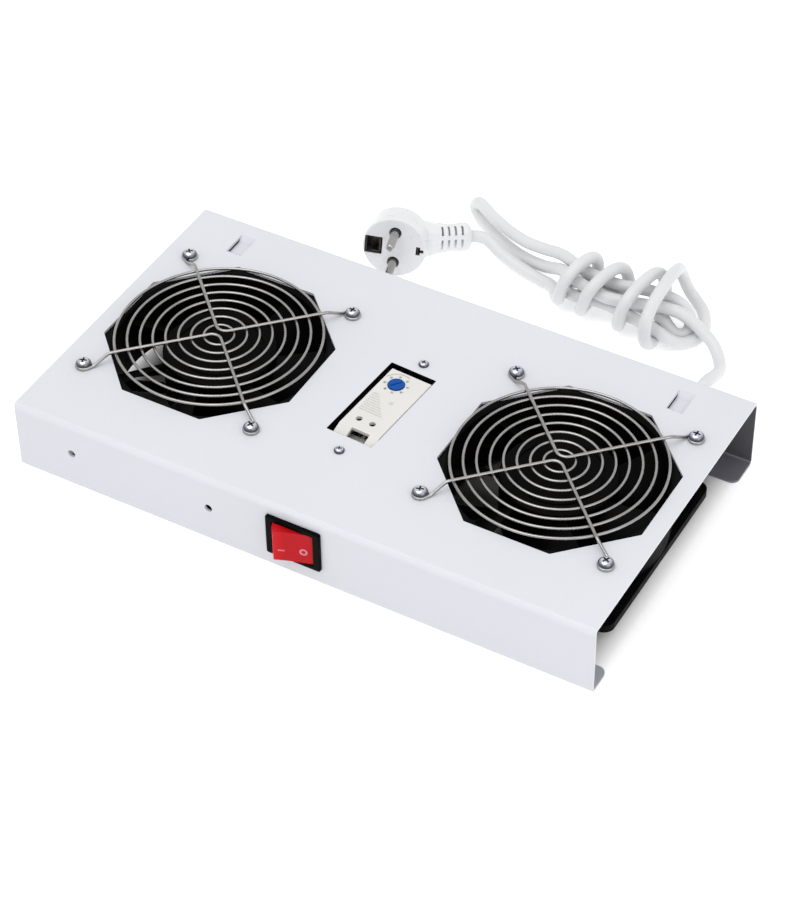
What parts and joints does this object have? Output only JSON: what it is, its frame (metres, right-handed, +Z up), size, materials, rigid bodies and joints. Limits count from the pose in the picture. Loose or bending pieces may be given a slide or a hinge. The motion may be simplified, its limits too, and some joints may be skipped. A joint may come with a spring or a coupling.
{
  "type": "rack fan tray",
  "caption": "Bent sheet-metal fan tray with axial fans under wire finger guards, a panel thermostat, a lit rocker switch and a mains cord with an angled plug.",
  "frame": {"origin": "bottom centre of the box round the tray itself, without the cord and plug, on the plane of the lips it rests on", "axes": "+X to the right along the tray's width, +Y from the switch side to the cord side, +Z up through the plate with the guards on it"},
  "size_m": [0.342, 0.3165, 0.0506],
  "materials": {
    "brass": "brass",
    "copper": "enamelled copper wire",
    "cord_white": "satin PVC",
    "core_brown": "PVC insulation",
    "earth_green_yellow": "PVC insulation",
    "fan_frame_black": "black coating, low sheen",
    "foot_grey": "matte moulded",
    "guard_chrome": "bright plated wire",
    "impeller_black": "moulded, semi gloss",
    "knob_blue": "semi gloss",
    "lamp_glass": "clear",
    "lead_black": "PVC insulation",
    "nickel": "nickel plated",
    "plug_white": "satin moulded",
    "rocker_red": "translucent red, gloss",
    "steel": "bright steel",
    "switch_black": "semi gloss",
    "terminal_white": "matte moulded",
    "thermostat_white": "matte moulded",
    "tray_white": "satin powder coat",
    "zinc_plated": "zinc plated"
  },
  "bodies": {
    "tray": {"bracket_screws": "zinc_plated", "cord_bend_relief": "cord_white", "earth_lead": "earth_green_yellow", "earth_lug": "zinc_plated", "fan_bearings_left": "steel", "fan_bearings_right": "steel", "fan_housing_left": "fan_frame_black", "fan_housing_right": "fan_frame_black", "fan_stator_core_left": "steel", "fan_stator_core_right": "steel", "fan_windings_left": "copper", "fan_windings_right": "copper", "finger_guard_left": "guard_chrome", "finger_guard_right": "guard_chrome", "lead_fan_left": "lead_black", "lead_fan_right": "lead_black", "lead_switch": "lead_black", "lead_thermostat": "lead_black", "m3_nuts": "zinc_plated", "m4_nuts": "zinc_plated", "m4_screws": "zinc_plated", "mains_cord_cores": "core_brown", "mains_cord_hank": "cord_white", "mains_cord_lead": "cord_white", "mains_cord_plug_end": "cord_white", "mains_cord_tail": "cord_white", "plug_bend_relief": "plug_white", "plug_body": "plug_white", "plug_earth_contacts": "nickel", "plug_pins": "nickel", "switch_housing": "switch_black", "switch_lamp": "lamp_glass", "switch_terminals": "brass", "terminal_block": "terminal_white", "terminal_block_screws": "zinc_plated", "terminal_clamp_screws": "zinc_plated", "terminal_inserts": "brass", "thermostat_bimetal": "brass", "thermostat_bracket": "zinc_plated", "thermostat_cover": "thermostat_white", "thermostat_housing": "thermostat_white", "thermostat_snap_contact": "brass", "thermostat_spring_foot": "foot_grey", "thermostat_terminal_base": "terminal_white", "thermostat_terminal_clamps": "brass", "thermostat_terminal_screws": "zinc_plated", "tray_chassis": "tray_white"},
    "left_impeller": {"fan_impeller_left": "impeller_black", "fan_shaft_left": "steel", "fan_rotor_ring_left": "steel"},
    "right_impeller": {"fan_impeller_right": "impeller_black", "fan_shaft_right": "steel", "fan_rotor_ring_right": "steel"},
    "rocker": {"switch_rocker": "rocker_red", "switch_pivot_pin": "steel", "switch_plunger": "terminal_white"},
    "contact_seesaw": {"switch_seesaw": "brass"},
    "knob": {"thermostat_knob": "knob_blue", "thermostat_spindle": "brass"}
  },
  "joints": [
    {"name": "left_fan_spin", "type": "hinge", "parent": "tray", "child": "left_impeller", "pos_m": [-0.1028, 0.00238, 0.023], "axis": [0, 0, 1], "continuous": true},
    {"name": "right_fan_spin", "type": "hinge", "parent": "tray", "child": "right_impeller", "pos_m": [0.1028, 0.00238, 0.023], "axis": [0, 0, 1], "continuous": true},
    {"name": "switch_rock", "type": "hinge", "parent": "tray", "child": "rocker", "pos_m": [0.0005, -0.09162, 0.0235], "axis": [0, 0, -1], "range_deg": [0, 37]},
    {"name": "contact_rock", "type": "hinge", "parent": "tray", "child": "contact_seesaw", "pos_m": [0.0005, -0.08062, 0.0235], "axis": [0, 0, 1], "range_deg": [0, 16]},
    {"name": "thermostat_dial", "type": "hinge", "parent": "tray", "child": "knob", "pos_m": [-0.0013, 0.01655, 0.044], "axis": [0, 0, 1], "range_deg": [0, 270]}
  ],
  "couplings": [
    {"joint": "contact_rock", "follows": "switch_rock", "ratio": 0.43243}
  ]
}
